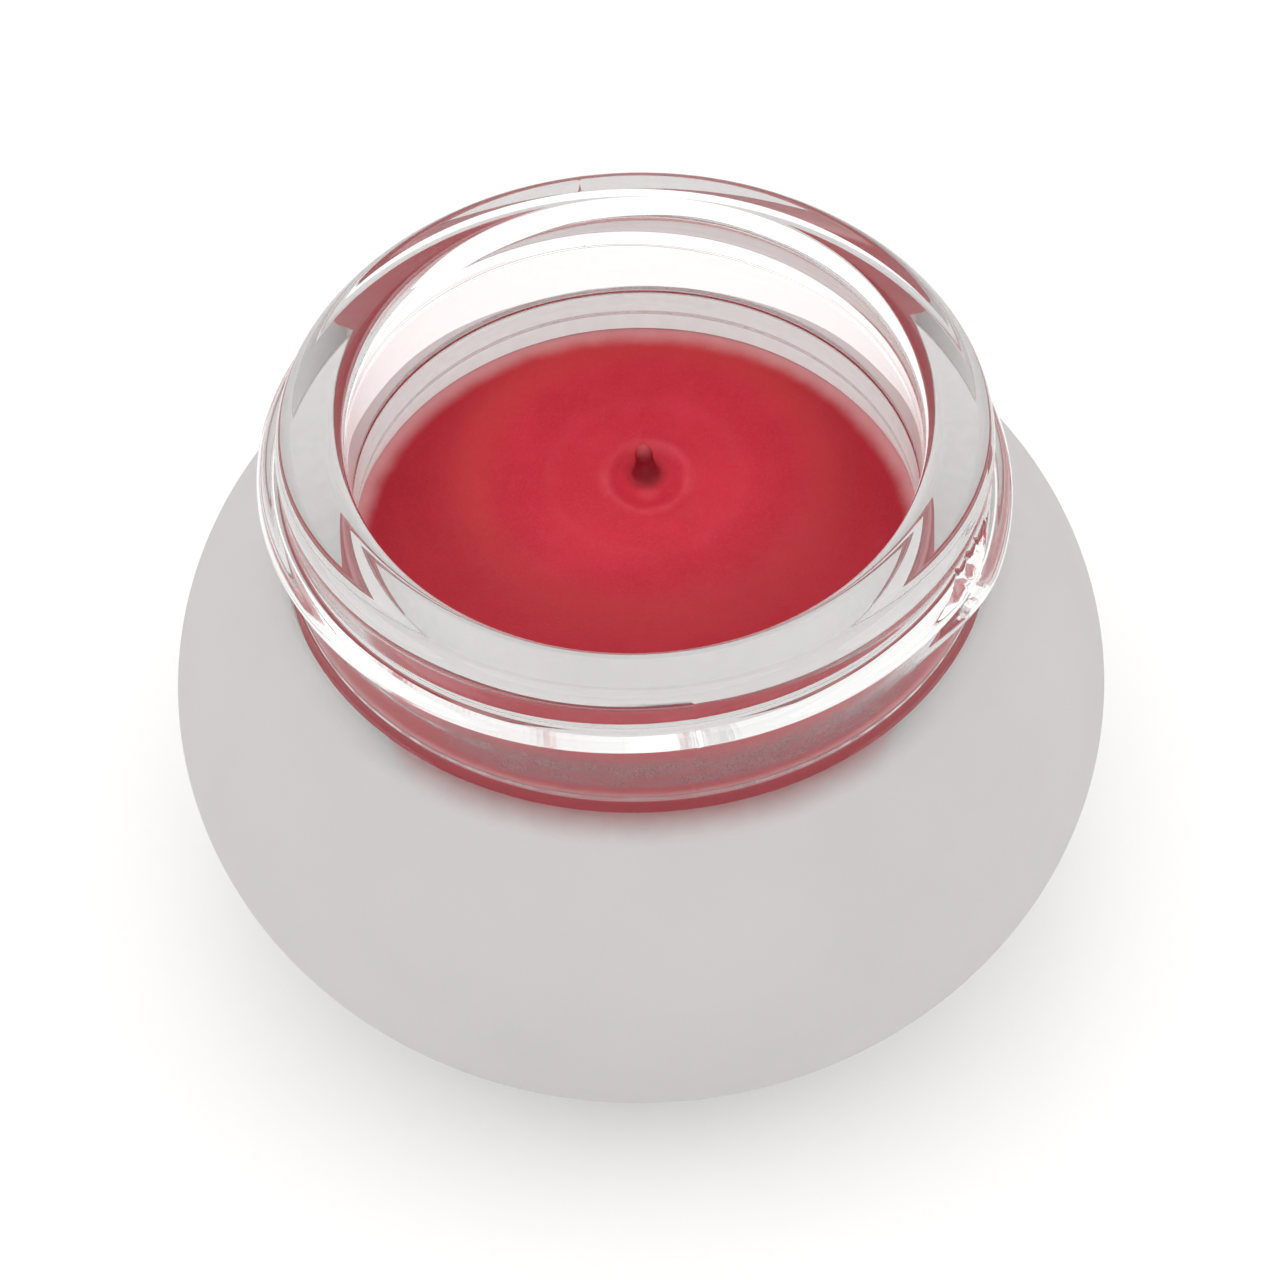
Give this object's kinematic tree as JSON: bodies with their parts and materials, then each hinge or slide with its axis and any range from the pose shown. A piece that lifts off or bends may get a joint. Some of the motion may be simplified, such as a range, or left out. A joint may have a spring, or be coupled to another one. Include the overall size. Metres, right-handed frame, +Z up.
{
  "type": "cosmetic cream jar",
  "caption": "Squat round glass cream jar, frosted below a clear threaded neck, standing open and filled with a poured red balm.",
  "frame": {"origin": "centre of the ring that the jar stands on, on the surface it stands on", "axes": "+Z up along the jar's axis, out of its mouth; -Y is the side that the neck's upper turn is dimensioned from, and +X is to the right seen from there"},
  "size_m": [0.062, 0.062, 0.0435],
  "materials": {
    "clear_glass": "clear, fire-polished moulded glass",
    "frosted_coat": "thin translucent frosted lacquer, satin",
    "balm": "satin, slightly grainy poured balm",
    "label": "blank matt paper label"
  },
  "bodies": {
    "root": {"glass_jar": "clear_glass", "frost_coat": "frosted_coat", "balm_fill": "balm", "base_label": "label"}
  },
  "joints": []
}
